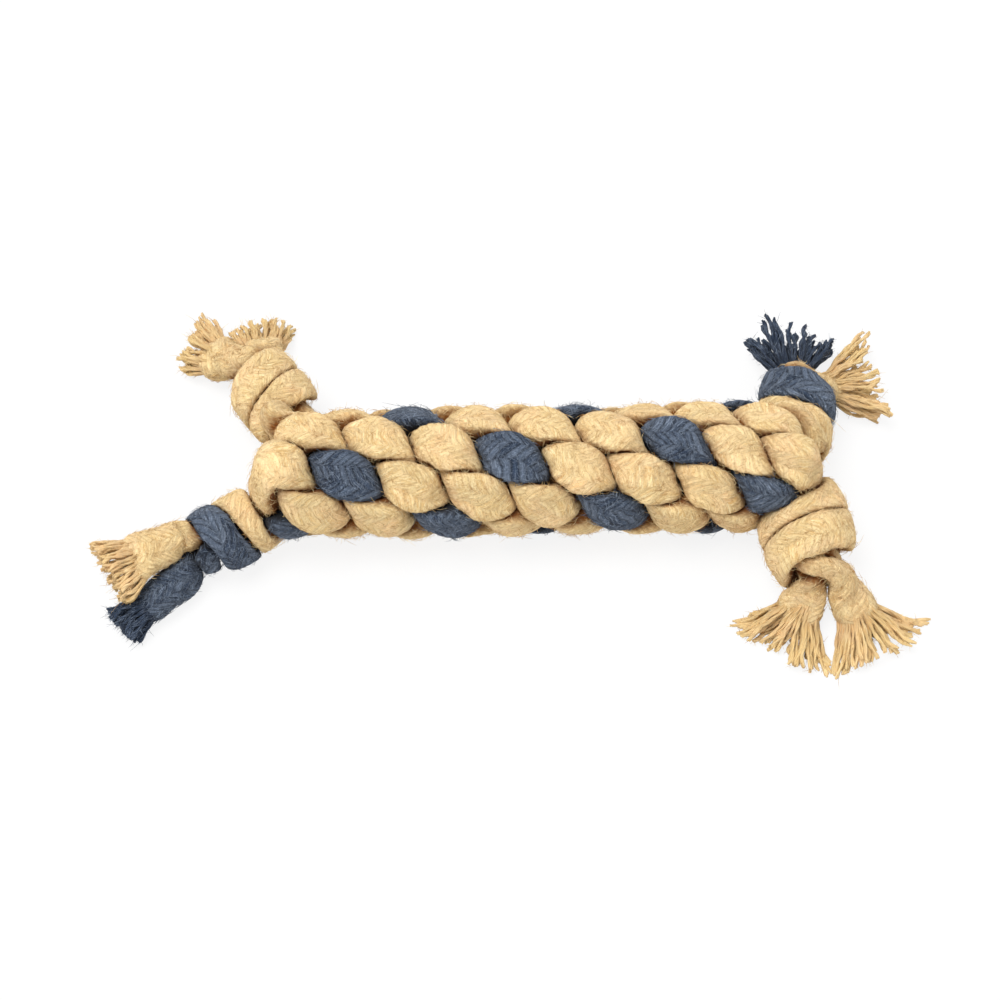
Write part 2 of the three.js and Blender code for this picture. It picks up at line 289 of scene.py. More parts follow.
def add_tail(keys, end, centre, flare):
    tail = end["tail"]
    for i, spot in enumerate(tail):
        point = centre + spot
        before, wide, _ = keys[-1]
        level = unit(np.cross(UP, unit(point - before)))
        if level @ wide < 0:
            level = -level
        share = (i + 1) / len(tail)
        last = i == len(tail) - 1
        fullness = min(FLARE_FULLNESS, end["fullness"]) if last else TAIL_FULLNESS
        keys.append((point, unit(wide * (1 - share) + level * share), fullness))
    if flare:
        onward = unit(keys[-1][0] - keys[-2][0]) * flare
        keys.append((keys[-1][0] + onward, keys[-1][1], end["fullness"]))


print("a tail has", len(CORDS["blue_cord"]["left"]["tail"]), "points, and one more where it flares")

# %% Key points of a whole cord
CORE_OFFSET = 2.5
KNOT_CROWN_SHARE = 0.24
KNOT_FULLNESS = 0.86
ORIGIN_SHIFT = np.array((7.337, -2.884, 0.0))


def knot_keys(end):
    knot = KNOTS[end["knot"]]
    centre, axis, line = knot_line(knot)
    crown = knot["wrap"] * KNOT_CROWN_SHARE
    keys = []
    for i, (point, out, opened) in enumerate(line):
        before, after = line[max(0, i - 1)][0], line[min(len(line) - 1, i + 1)][0]
        wide = unit(np.cross(out, unit(after - before)))
        offset = CORE_OFFSET + (WRAP_OFFSET - CORE_OFFSET) * opened
        spot = point + wide * end["side"] * offset
        spot, wide = rounded_off(spot, wide, out, crown * opened, centre, axis)
        keys.append((spot, wide, KNOT_FULLNESS))
    for spot in reversed(end["way"]):
        keys.insert(0, (centre + spot, keys[0][1], KNOT_FULLNESS))
    add_tail(keys, end, centre, knot["flare"])
    return keys


def cord_keys(cord):
    keys = knot_keys(cord["left"])[::-1] + plait_keys(cord["place"]) + knot_keys(cord["right"])
    points = np.array([key[0] for key in keys])
    wides = [keys[0][1]]
    for _, wide, _ in keys[1:]:
        wides.append(-wide if wide @ wides[-1] < 0 else wide)
    return points + ORIGIN_SHIFT, np.array(wides), np.array([key[2] for key in keys])


print("key points of the blue cord:", len(cord_keys(CORDS["blue_cord"])[0]))

# %% [markdown]
# A Bezier curve would need handles at every point. A centripetal Catmull-Rom curve needs none: it
# runs smoothly through all key points and makes no loops where they are close. It is read at even
# steps, and each step keeps its direction, its wide and thin sides, its bend and its fullness.

# %% Smooth centre lines
CURVE_DIVISIONS = 20
PRESS_STEP = 1.0
RING_STEP = 0.72
CENTRIPETAL = 0.5
LEAST_KEY_GAP = 1e-4


def curve_points(points, t):
    count = len(points)
    whole = np.minimum(t.astype(int), count - 2)
    u = (t - whole)[:, None]
    ends = np.vstack((2 * points[0] - points[1], points, 2 * points[-1] - points[-2]))
    p0, p1, p2, p3 = (ends[whole + k] for k in range(4))

    def key_gap(a, b):
        gap = np.linalg.norm(a - b, axis=1, keepdims=True)
        return np.maximum(gap, LEAST_KEY_GAP) ** CENTRIPETAL

    d0, d1, d2 = key_gap(p0, p1), key_gap(p1, p2), key_gap(p2, p3)
    m1 = ((p1 - p0) / d0 - (p2 - p0) / (d0 + d1) + (p2 - p1) / d1) * d1
    m2 = ((p2 - p1) / d1 - (p3 - p1) / (d1 + d2) + (p3 - p2) / d2) * d1
    c2 = -3 * p1 + 3 * p2 - 2 * m1 - m2
    c3 = 2 * p1 - 2 * p2 + m1 + m2
    return p1 + u * m1 + u**2 * c2 + u**3 * c3


def read_curve(points, wides, fullness, step):
    t = np.linspace(0, len(points) - 1, len(points) * CURVE_DIVISIONS)
    line = curve_points(points, t)
    arc = np.concatenate(([0], np.cumsum(np.linalg.norm(np.diff(line, axis=0), axis=1))))
    arcs = np.linspace(0, arc[-1], round(arc[-1] / step) + 1)
    at = np.interp(arcs, arc, t)
    centre = curve_points(points, at)
    along = unit(np.gradient(centre, arcs, axis=0))
    whole = np.minimum(at.astype(int), len(points) - 2)
    u = (at - whole)[:, None]
    wide = wides[whole] * (1 - u) + wides[whole + 1] * u
    wide = unit(wide - along * np.sum(wide * along, axis=1, keepdims=True))
    return {
        "arc": arcs,
        "centre": centre,
        "along": along,
        "wide": wide,
        "thin": np.cross(along, wide),
        "bend": np.gradient(along, arcs, axis=0),
        "full": np.interp(at, np.arange(len(points)), fullness),
    }


ROUTES = {}
for name, cord in CORDS.items():
    keys = cord_keys(cord)
    ROUTES[name] = {"press": read_curve(*keys, PRESS_STEP), "rings": read_curve(*keys, RING_STEP)}
    print(name, "is", round(ROUTES[name]["press"]["arc"][-1]), "mm long")

# %% [markdown]
# Soft cords press each other flat. A round tube along each line would leave holes in the plait
# or cut into its neighbours, and a cloth simulation of four long cords would be slow. So a free
# cord is a full oval, and where another cord comes near, the skin stops half way between the two
# centre lines. The cords fill the plait, and no two cross.

# %% Pressed skins
SIDES = 76
SKIN_GAP = 0.4
BEND_SHARE = 0.85
OVAL_POWER = 2.8
FREE_WIDTH = 18.6
FREE_THICKNESS = 9.4
PRESS_DISTANCE = 31.0
OWN_STRETCH = 20.0
LEAST_REACH = 0.7
TINY = 1e-6


def section_directions(route):
    angles = np.arange(SIDES) * 2 * math.pi / SIDES
    across = np.cos(angles)[:, None] * FREE_WIDTH / 2
    above = np.sin(angles)[:, None] * FREE_THICKNESS / 2
    power = np.abs(np.cos(angles)) ** OVAL_POWER + np.abs(np.sin(angles)) ** OVAL_POWER
    full = power ** (-1 / OVAL_POWER)
    out = route["wide"][:, None] * (across * route["full"][:, None, None])
    out = out + route["thin"][:, None] * above
    oval = np.linalg.norm(out, axis=2)
    return out / oval[..., None], oval * full


def pressed_reach(name):
    route = ROUTES[name]["press"]
    toward, oval = section_directions(route)
    reach = oval.copy()
    bend = np.einsum("ik,isk->is", route["bend"], toward)
    bent = bend > TINY
    reach[bent] = np.minimum(reach[bent], BEND_SHARE / bend[bent])
    for other in ROUTES:
        near = ROUTES[other]["press"]
        for i, centre in enumerate(route["centre"]):
            apart = near["centre"] - centre
            distance = np.linalg.norm(apart, axis=1)
            close = distance < PRESS_DISTANCE
            if other == name:
                close &= np.abs(near["arc"] - route["arc"][i]) > OWN_STRETCH
            if not close.any():
                continue
            facing = apart[close] @ toward[i].T
            span = (distance[close] - SKIN_GAP) * distance[close]
            limit = span[:, None] / (2 * np.maximum(facing, TINY))
            reach[i] = np.minimum(reach[i], limit.min(axis=0))
    return np.maximum(reach, LEAST_REACH) / oval


for name in ROUTES:
    ROUTES[name]["share"] = pressed_reach(name)
    print(name, "keeps", round(float(ROUTES[name]["share"].mean()), 2), "of its oval")

# %% [markdown]
# Each cord is itself a tubular braid. Its yarns run slantwise in bands, and each band leans against
# the next, which gives the herringbone of the photograph. Real yarns all over would be millions of
# faces, so the skin gets them as a low relief, and the finish adds the rest. The braid is a little
# uneven, so the map of each cord is pushed about by slow waves, and the same pushed map goes into
# the UV map, where the finish finds its yarns.

# %% Braid relief
BANDS = 10
YARN_PITCH = 2.1
YARN_SLANT = 1.8
RELIEF = 0.36
YARN_ROUNDNESS = 0.8
BAND_ROUNDNESS = 0.5
RELIEF_AT_SEAM = 0.35
ARC_PUSH = 1.0
QUICK_PUSH = 0.3
QUICK_LENGTH = 4.0
QUICK_TURNS = 8
AROUND_PUSH = 0.024
WAVES = 9
ANY_PHASE = 6.3


def slow_waves(arc, around, seed, longest=14.0, most_turns=3):
    random = np.random.default_rng(seed)
    value = np.zeros(np.broadcast(arc, around).shape)
    for _ in range(WAVES):
        along = random.uniform(-1, 1) / longest
        turns = random.integers(-most_turns, most_turns + 1)
        phase = random.uniform(0, ANY_PHASE)
        value += np.sin((arc * along + around * turns) * 2 * math.pi + phase)
    return value / math.sqrt(WAVES)


def pushed_map(arc, around, seed):
    pushed_arc = arc + ARC_PUSH * slow_waves(arc, around, seed)
    pushed_arc += QUICK_PUSH * slow_waves(arc, around, seed + 3, QUICK_LENGTH, QUICK_TURNS)
    return pushed_arc, around + AROUND_PUSH * slow_waves(arc, around, seed + 1)


def braid_relief(arc, around):
    u = around * BANDS
    band = np.floor(u)
    within = u - band
    lean = np.where(band % 2 == 0, 1.0, -1.0)
    phase = arc / YARN_PITCH + lean * (within - 0.5) * YARN_SLANT + 0.5 * (band % 2)
    yarn = np.abs(np.cos(math.pi * phase)) ** YARN_ROUNDNESS
    dome = np.clip(4 * within * (1 - within), 0, 1) ** BAND_ROUNDNESS
    return RELIEF * yarn * (RELIEF_AT_SEAM + (1 - RELIEF_AT_SEAM) * dome)


print("yarns in a band are", YARN_PITCH, "mm apart, and", BANDS, "bands go round a cord")

# %% Rings of a skin
END_ROUND = 9.0
LEAST_END = 0.4
SMOOTH_PASSES = 6
RELIEF_SUNK = 0.8
LUMPS = 0.5
LUMP_LENGTH = 8.0
MOST_RAISED = 0.1
THIN_REACH = 3


def smooth_share(share):
    smooth = share
    for _ in range(SMOOTH_PASSES):
        padded = np.vstack((smooth[:1], smooth, smooth[-1:]))
        smooth = (padded[:-2] + 2 * padded[1:-1] + padded[2:]) / 4
        smooth = (np.roll(smooth, 1, 1) + 2 * smooth + np.roll(smooth, -1, 1)) / 4
    return np.minimum(smooth, share)


def reach_to_floor(rings, toward):
    drop = np.maximum(-toward[..., 2], TINY)
    return np.where(toward[..., 2] < 0, rings["centre"][:, None, 2] / drop, np.inf)


def skin_rings(name, seed):
    press, rings = ROUTES[name]["press"], ROUTES[name]["rings"]
    share = smooth_share(ROUTES[name]["share"])
    share = np.array([np.interp(rings["arc"], press["arc"], column) for column in share.T]).T
    toward, oval = section_directions(rings)
    length = rings["arc"][-1]
    from_end = np.minimum(rings["arc"], length - rings["arc"]) / END_ROUND
    rounding = LEAST_END + (1 - LEAST_END) * np.sin(np.minimum(from_end, 1) * math.pi / 2)
    arc, around = rings["arc"][:, None], np.arange(SIDES + 1)[None] / SIDES
    pushed = pushed_map(arc, around, seed)
    relief = braid_relief(*pushed)[:, :SIDES] - RELIEF * RELIEF_SUNK
    relief += LUMPS * slow_waves(arc, around[:, :SIDES], seed + 2, LUMP_LENGTH)
    reach = oval * share * rounding[:, None]
    reach += np.minimum(relief, MOST_RAISED) * np.minimum(1, reach / THIN_REACH)
    reach = np.minimum(reach, reach_to_floor(rings, toward))
    return rings["centre"][:, None] + toward * reach[..., None], share, pushed


print("a ring has", SIDES, "points, and rings are", RING_STEP, "mm apart")

# %% [markdown]
# A flat grid from bmesh has a face for every place on a cord. Each of its points is put on its
# ring, the two long edges meet and are merged, and the two ends are closed. The grid also brings
# the UV map, and every point keeps how hard it is pressed, for the finish.

# %% Weld the rings into a skin
MAP_LENGTH = 100.0
WELD_DISTANCE = 1e-8
SEEDS_A_CORD = 10


def weld_grid(name, points, share, pushed):
    rings, sides = points.shape[:2]
    bm = bmesh.new()
    uv = bm.loops.layers.uv.new("UVMap")
    bmesh.ops.create_grid(bm, x_segments=rings - 1, y_segments=sides, size=0.5, calc_uvs=True)
    pressed = bm.verts.layers.float.new("pressed")
    for vert in bm.verts:
        i = round((vert.co.x + 0.5) * (rings - 1))
        j = round((vert.co.y + 0.5) * sides) % sides
        vert.co = points[i, j] * MM
        vert[pressed] = 1 - share[i, j]
    for face in bm.faces:
        face.smooth = True
        for loop in face.loops:
            i, j = round(loop[uv].uv.x * (rings - 1)), round(loop[uv].uv.y * sides)
            loop[uv].uv = (pushed[0][i, j] / MAP_LENGTH, pushed[1][i, j])
    bmesh.ops.remove_doubles(bm, verts=bm.verts, dist=WELD_DISTANCE)
    edge = [e for e in bm.edges if e.is_boundary]
    caps = bmesh.ops.holes_fill(bm, edges=edge, sides=0)["faces"]
    bmesh.ops.poke(bm, faces=caps)
    bmesh.ops.recalc_face_normals(bm, faces=bm.faces)
    mesh = bpy.data.meshes.new(name)
    bm.to_mesh(mesh)
    bm.free()
    return mesh


def new_piece(mesh):
    piece = bpy.data.objects.new(mesh.name, mesh)
    bpy.context.scene.collection.objects.link(piece)
    return piece


SKINS = {}
for cord_number, name in enumerate(CORDS):
    points, share, pushed = skin_rings(name, SEEDS_A_CORD * cord_number)
    ROUTES[name]["skin"] = points
    ROUTES[name]["fine_share"] = share
    SKINS[name] = new_piece(weld_grid(name.replace("cord", "braid"), points, share, pushed))
    print(SKINS[name].name, "has", len(SKINS[name].data.polygons), "faces")

# %% [markdown]
# Near its end the cord is no longer held tight and opens into its yarns. They follow the route
# inside the skin, come out over the braid's last stretch and fan out in clumps. Every yarn is two
# plies laid up together, so it is drawn as two thin curves that wind round one another. Hair
# particles would be quicker, but they don't become a mesh that can be kept.

# %% Threads into one mesh


def thread_curve(name, threads, radius, resolution):
    curve = bpy.data.curves.new(name, "CURVE")
    curve.dimensions = "3D"
    curve.bevel_depth = radius * MM
    curve.bevel_resolution = resolution
    curve.use_fill_caps = True
    for points, thick in threads:
        spline = curve.splines.new("POLY")
        spline.points.add(len(points) - 1)
        flat = np.hstack((points * MM, np.ones((len(points), 1))))
        spline.points.foreach_set("co", flat.ravel())
        spline.points.foreach_set("radius", thick)
    holder = bpy.data.objects.new(name, curve)
    bpy.context.scene.collection.objects.link(holder)
    evaluated = holder.evaluated_get(bpy.context.evaluated_depsgraph_get())
    mesh = bpy.data.meshes.new_from_object(evaluated)
    bpy.data.objects.remove(holder)
    mesh.name = name
    for face in mesh.polygons:
        face.use_smooth = True
    return mesh


print("threads are swept as round tubes and kept as one mesh")

# %% Two plies of a yarn
PLY_RADIUS = 0.45
PLY_OFFSET = 0.24
PLY_TWIST = 9.0
TIP_PARTING, PARTING_LENGTH = 0.4, 3
TIP_THINNING, THINNING_LENGTH = 0.25, 1.2


def near_tip(t, reach, length):
    return np.clip((t - reach + length) / length, 0, 1) ** 2


def yarn_plies(line, t, reach, across, above, phase):
    plies = []
    for ply in (0, math.pi):
        turn = t / PLY_TWIST * 2 * math.pi + ply + phase
        parting = 1 + TIP_PARTING * near_tip(t, reach, PARTING_LENGTH)
        wound = line + np.outer(np.cos(turn) * PLY_OFFSET * parting, across)
        wound += np.outer(np.sin(turn) * PLY_OFFSET * parting, above)
        wound[:, 2] = np.maximum(wound[:, 2], PLY_RADIUS)
        plies.append((wound, 1 - TIP_THINNING * near_tip(t, reach, THINNING_LENGTH)))
    return plies


print("a yarn is about", 2 * (PLY_RADIUS + PLY_OFFSET), "mm thick")

# %% Yarns of a frayed end
YARN_POINTS = 20
FRAY_IN = 9.0
OPEN_IN = FRAY_IN * 0.6
OPEN_POWER = 1.6
GOLDEN_TURN = 2.399963
TURN_STRAY = 0.3
OUTER_CROWD = 0.32
CLUMPS = 9
CLUMP_LEAN = 0.17
CLUMP_LENGTH = 0.6
YARN_LENGTHS = (0.8, 1.1)
MIDDLE_LENGTH, OUTER_SHORTER = 1.08, 0.16
STRAY = 0.08
LIFT_SHARE = 0.5
SWING_PUSH = 1.1
INSIDE_WIDTH, INSIDE_THICKNESS = 0.96, 0.98
GATHER = 0.3
GATHER_ENDS = (-2.0, 1.5)
GATHER_POWER = 1.2
WAVE = 0.9
WAVE_ACROSS, WAVE_ABOVE = 0.55, 0.47
random = np.random.default_rng(7)


def fray_yarns(route, end, spread_angle, loose, yarns):
    tip_way = route["along"][0 if end < 0 else -1] * end
    length = route["arc"][-1]
    across = unit(np.cross(UP, tip_way))
    above = np.cross(tip_way, across)
    widest = math.radians(spread_angle)
    half_wide = FREE_WIDTH / 2 * INSIDE_WIDTH
    half_thick = FREE_THICKNESS / 2 * INSIDE_THICKNESS
    clumps = random.normal(0, CLUMP_LEAN, (CLUMPS, 3)) * (1, 1, CLUMP_LENGTH)
    threads = []
    for yarn in range(yarns):
        angle = yarn * GOLDEN_TURN + random.uniform(-TURN_STRAY, TURN_STRAY)
        outward = ((yarn + 0.5) / yarns) ** OUTER_CROWD
        place = np.array((math.cos(angle) * outward, math.sin(angle) * outward))
        clump = clumps[int((angle / (2 * math.pi) % 1) * CLUMPS)]
        reach = loose * (random.uniform(*YARN_LENGTHS) + clump[2])
        reach *= MIDDLE_LENGTH - OUTER_SHORTER * outward
        swing = widest * place[0] + clump[0] + random.normal(0, STRAY)
        lift = widest * LIFT_SHARE * place[1] + clump[1] + random.normal(0, STRAY)
        t = np.linspace(-FRAY_IN, reach, YARN_POINTS)
        opened = np.clip((t + OPEN_IN) / (reach + OPEN_IN), 0, 1) ** OPEN_POWER
        arc = np.clip(length + t if end > 0 else -t, 0, length)
        centre = np.array([np.interp(arc, route["arc"], axis) for axis in route["centre"].T]).T
        full = np.interp(arc, route["arc"], route["full"])
        held = np.clip((random.uniform(*GATHER_ENDS) - t) / FRAY_IN, 0, 1) ** GATHER_POWER
        gathered = 1 - GATHER * held
        waves = random.uniform(0, ANY_PHASE, 2)
        line = centre + np.outer(np.maximum(t, 0), tip_way)
        line += np.outer(gathered * full * place[0] * half_wide, across)
        line += np.outer(gathered * place[1] * half_thick, above)
        line += np.outer(opened * reach * math.sin(swing) * SWING_PUSH, across)
        line += np.outer(opened * reach * math.sin(lift), above)
        line += np.outer(opened * WAVE * np.sin(t * WAVE_ACROSS + waves[0]), across)
        line += np.outer(opened * WAVE * np.sin(t * WAVE_ABOVE + waves[1]), above)
        threads += yarn_plies(line, t, reach, across, above, waves[0])
    return threads


FRAYS = {}
for name, cord in CORDS.items():
    threads = []
    for end in (cord["left"], cord["right"]):
        knot = KNOTS[end["knot"]]
        values = (knot["end"], end["spread"], knot["loose"], knot["yarns"])
        threads += fray_yarns(ROUTES[name]["rings"], *values)
    ROUTES[name]["loose"] = [line for line, _ in threads]
    mesh = thread_curve(name.replace("cord", "fray"), threads, PLY_RADIUS, resolution=1)
    FRAYS[name] = new_piece(mesh)
    print(FRAYS[name].name, "has", len(mesh.polygons), "faces")

# %% [markdown]
# Jute is hairy. Loose fibres lie along the braid and lift off a little, most of them shorter than
# a cord is thick, so they show as a fine fluff on the outline and as pale scratches on the cords.
# More of them stand off the yarns of the frayed ends. Each is a curve of three points, because
# there are thousands and each may have only a few faces.

# %% Fibres on the braid
FIBRE_RADIUS = 0.06
FIBRE_POINTS = 3
FIBRE_TAPER = np.array((1.0, 0.9, 0.35))
EXPOSED_SHARE = 0.75
END_RINGS = 8
HEADING, HEADING_STRAY = 0.7, 0.8
LENGTH_GROWTH, LEAST_LENGTH = 0.7, 0.9
FLAT_CHANCE = 0.985
FLAT_LIFT, HIGH_LIFT = (0.0, 0.18), (0.25, 0.6)
CURL = 0.35
ROOT_DEPTH = 0.05
ARCH = 0.2


def fibre_length(growth, least):
    return random.gamma(2.0, 1.0) * growth + least


def above_floor(line):
    line[:, 2] = np.maximum(line[:, 2], FIBRE_RADIUS)
    return line


def loose_fibres(name, count):
    rings, skin = ROUTES[name]["rings"], ROUTES[name]["skin"]
    exposed = ROUTES[name]["fine_share"][END_RINGS:-END_RINGS] > EXPOSED_SHARE
    spots = np.argwhere(exposed) + (END_RINGS, 0)
    t = np.linspace(0, 1, FIBRE_POINTS)
    threads = []
    for i, j in spots[random.integers(0, len(spots), count)]:
        here, along = skin[i, j], rings["along"][i]
        out = unit(here - rings["centre"][i])
        around = unit(np.cross(along, out))
        heading = random.normal(0, HEADING_STRAY)
        heading += HEADING if random.random() < 0.5 else -HEADING
        way = along * math.cos(heading) * random.choice((-1, 1)) + around * math.sin(heading)
        length = fibre_length(LENGTH_GROWTH, LEAST_LENGTH)
        lift = random.uniform(*(FLAT_LIFT if random.random() < FLAT_CHANCE else HIGH_LIFT))
        curl = random.normal(0, CURL)
        sag = (t * length * math.sin(heading)) ** 2 / CORD_THICKNESS
        rise = t * length * math.sin(lift) + ARCH * np.sin(math.pi * t) - sag
        line = here - out * ROOT_DEPTH + np.outer(t * length, way * math.cos(lift))
        line += np.outer(rise, out)
        line += np.outer(t**2 * length * curl, np.cross(way, out))
        threads.append((above_floor(line), FIBRE_TAPER))
    return threads


print("a fibre is", 2 * FIBRE_RADIUS, "mm thick")

# %% Fibres on the loose yarns
FIBRES = 7200
STRAY_FIBRES = 2400
STRAY_WAY, STRAY_BEND = 0.5, 0.2
STRAY_GROWTH, LEAST_STRAY = 0.5, 0.8


def stray_fibres(name, count):
    lines = ROUTES[name]["loose"]
    t = np.linspace(0, 1, FIBRE_POINTS)
    threads = []
    for _ in range(count):
        line = lines[random.integers(0, len(lines))]
        i = random.integers(YARN_POINTS // 2, YARN_POINTS - 1)
        way = unit(unit(line[i + 1] - line[i]) + random.normal(0, STRAY_WAY, 3))
        bend = random.normal(0, STRAY_BEND, 3)
        length = fibre_length(STRAY_GROWTH, LEAST_STRAY)
        strand = line[i] + np.outer(t * length, way) + np.outer(t**2 * length, bend)
        threads.append((above_floor(strand), FIBRE_TAPER))
    return threads


FLUFFS = {}
for name in CORDS:
    fibres = loose_fibres(name, FIBRES) + stray_fibres(name, STRAY_FIBRES)
    mesh = thread_curve(name.replace("cord", "fluff"), fibres, FIBRE_RADIUS, resolution=0)
    FLUFFS[name] = new_piece(mesh)
    print(FLUFFS[name].name, "has", len(mesh.polygons), "faces")

# %% [markdown]
# Pictures of real jute would blur close up and repeat. These finishes are made of noise and sums,
# which stay sharp at any size. The helpers add one node each, with its inputs set or joined up.

# %% Node helpers


def srgb(red, green, blue):
    def linear(v):
        v /= 255
        return v / 12.92 if v <= 0.04045 else ((v + 0.055) / 1.055) ** 2.4

    return (linear(red), linear(green), linear(blue), 1.0)


def add_node(tree, kind, settings=None, **inputs):
    node = tree.nodes.new(kind)
    for key, value in (settings or {}).items():
        setattr(node, key, value)
    for key, value in inputs.items():
        numbered = key[0] == "i" and key[1:].isdigit()
        socket = node.inputs[int(key[1:]) if numbered else key.replace("_", " ")]
        if isinstance(value, bpy.types.NodeSocket):
            tree.links.new(value, socket)
        else:
            socket.default_value = value
    return node


def maths(tree, operation, a, b=0.0, clamp=False):
    settings = {"operation": operation, "use_clamp": clamp}
    return add_node(tree, "ShaderNodeMath", settings, i0=a, i1=b).outputs[0]


def mix_colour(tree, factor, a, b):
    settings = {"data_type": "RGBA"}
    return add_node(tree, "ShaderNodeMix", settings, i0=factor, i6=a, i7=b).outputs[2]


def noise(tree, place, scale, detail, distortion=0.0):
    values = {"Scale": scale, "Detail": detail, "Distortion": distortion}
    return add_node(tree, "ShaderNodeTexNoise", Vector=place, **values).outputs[0]


def ramp(tree, value, low, high):
    node = add_node(tree, "ShaderNodeMapRange", Value=value, From_Min=low, From_Max=high)
    return node.outputs[0]


def scaled(tree, vector, scale):
    settings = {"operation": "SCALE"}
    return add_node(tree, "ShaderNodeVectorMath", settings, i0=vector, Scale=scale).outputs[0]


def use_group(tree, group, **inputs):
    return add_node(tree, "ShaderNodeGroup", {"node_tree": group}, **inputs).outputs


def new_group(name, inputs, outputs):
    group = bpy.data.node_groups.new(name, "ShaderNodeTree")
    for title, kind in inputs.items():
        group.interface.new_socket(title, in_out="INPUT", socket_type=kind)
    for title in outputs:
        group.interface.new_socket(title, in_out="OUTPUT", socket_type="NodeSocketFloat")
    given = group.nodes.new("NodeGroupInput").outputs
    return group, given, group.nodes.new("NodeGroupOutput").inputs


print("node helpers are ready")

# %% [markdown]
# Three node groups are shared by the finishes. The first draws fine fibres along a map. The second
# draws a few hairs that cross the surface. The third finds the slanting yarns of a braid in the
# cord's UV map, gives each its own tone, and runs the fibres along it. All of them put out plain
# masks, and the colours stay in each material.

# %% Fibres along a map and across it
STREAKS = {
    "Streak": {"stretch": (3.2, 0.55, 1.0), "detail": 4.0, "edges": (0.38, 0.62)},
    "Wisp": {"stretch": (5.5, 0.8, 1.0), "detail": 1.0, "edges": (0.55, 0.72)},
}
STREAK_DISTORTION = 1.1
CROSSING_DISTORTION = 1.5
CROSSING_THINNESS = 30.0


def make_fibre_streaks():
    inputs = {"Map": "NodeSocketVector", "Fineness": "NodeSocketFloat"}
    group, given, result = new_group("fibre_streaks", inputs, STREAKS)
    fine = scaled(group, given["Map"], given["Fineness"])
    for title, look in STREAKS.items():
        stretched = add_node(group, "ShaderNodeMapping", Vector=fine, Scale=look["stretch"])
        fibres = noise(group, stretched.outputs[0], 1.0, look["detail"], STREAK_DISTORTION)
        group.links.new(ramp(group, fibres, *look["edges"]), result[title])
    return group


def make_crossing_fibres():
    inputs = {"Place": "NodeSocketVector", "Fineness": "NodeSocketFloat"}
    group, given, result = new_group("crossing_fibres", inputs, ["Line"])
    field = noise(group, given["Place"], given["Fineness"], 1.0, CROSSING_DISTORTION)
    off_line = maths(group, "ABSOLUTE", maths(group, "SUBTRACT", field, 0.5))
    off_line = maths(group, "MULTIPLY", off_line, CROSSING_THINNESS)
    group.links.new(maths(group, "SUBTRACT", 1.0, off_line, clamp=True), result["Line"])
    return group


FIBRE_STREAKS = make_fibre_streaks()
CROSSING_FIBRES = make_crossing_fibres()
print("node groups:", ", ".join(group.name for group in bpy.data.node_groups))

# %% Yarns of the braid
PITCHES_A_MAP = MAP_LENGTH / YARN_PITCH
CROWN_AT_SEAM = 0.5
FIBRE_LAY = 0.35
FIBRES_ACROSS = 2.4
BAND_SHIFT = 7.3
CROWN_HEIGHT, FIBRE_HEIGHT = 0.4, 0.6
GAP_POWER = 2.0


def make_braided_yarns():
    inputs = {"Cord Map": "NodeSocketVector", "Fineness": "NodeSocketFloat"}
    outputs = ("Streak", "Wisp", "Gap Shade", "Yarn", "Height")
    group, given, result = new_group("braided_yarns", inputs, outputs)

    def step(operation, a, b=0.0, clamp=False):
        return maths(group, operation, a, b, clamp)

    arc, around, _ = add_node(group, "ShaderNodeSeparateXYZ", i0=given["Cord Map"]).outputs
    u = step("MULTIPLY", around, float(BANDS))
    band = step("FLOOR", u)
    within = step("SUBTRACT", u, band)
    odd = step("FLOORED_MODULO", band, 2.0)
    lean = step("SUBTRACT", 1.0, step("MULTIPLY", odd, 2.0))
    slant = step("MULTIPLY", step("SUBTRACT", within, 0.5), YARN_SLANT)
    phase = step("ADD", step("MULTIPLY", arc, PITCHES_A_MAP), step("MULTIPLY", slant, lean))
    phase = step("ADD", phase, step("MULTIPLY", odd, 0.5))
    yarn = step("ROUND", phase)
    aside = step("ABSOLUTE", step("SUBTRACT", phase, yarn))
    dome = step("MULTIPLY", step("MULTIPLY", within, step("SUBTRACT", 1.0, within)), 4.0)
    dome = step("ADD", step("MULTIPLY", dome, 1 - CROWN_AT_SEAM), CROWN_AT_SEAM)
    crown = step("MULTIPLY", step("COSINE", step("MULTIPLY", aside, math.pi)), dome)
    twist = step("ADD", phase, step("MULTIPLY", within, FIBRE_LAY))
    across = step("MULTIPLY", within, FIBRES_ACROSS)
    shift = step("MULTIPLY", band, BAND_SHIFT)
    spot = add_node(group, "ShaderNodeCombineXYZ", i0=twist, i1=across, i2=shift)
    fibres = use_group(group, FIBRE_STREAKS, Map=spot.outputs[0], Fineness=given["Fineness"])
    pair = add_node(group, "ShaderNodeCombineXYZ", i0=yarn, i1=band)
    flat = {"noise_dimensions": "2D"}
    own_tone = add_node(group, "ShaderNodeTexWhiteNoise", flat, Vector=pair.outputs[0])
    height = step("MULTIPLY", crown, CROWN_HEIGHT)
    height = step("ADD", height, step("MULTIPLY", fibres["Streak"], FIBRE_HEIGHT))
    # the gap mask says where painted shade goes, between the yarns
    gap = step("POWER", step("SUBTRACT", 1.0, crown, clamp=True), GAP_POWER)
    values = (fibres["Streak"], fibres["Wisp"], gap, own_tone.outputs["Value"], height)
    for title, value in zip(outputs, values):
        group.links.new(value, result[title])
    return group


BRAIDED_YARNS = make_braided_yarns()
print("sockets of the braid's group:", len(BRAIDED_YARNS.interface.items_tree))

# %% [markdown]
# Jute is dull and uneven: every fibre has its own tone, and yellow, pink and brown clouds run over
# them. Each colour of cord has one finish for the braid, one for the loose yarns and one for the
# hairs. They share the colours of the fibres and of the clouds.

# %% Colours of the fibres
CLOUD_SCALES = (95.0, 140.0)
CLOUD_EDGES = (0.42, 0.62)
CLOUD_SHARE = 0.42
BUMP_STRENGTH = 0.8


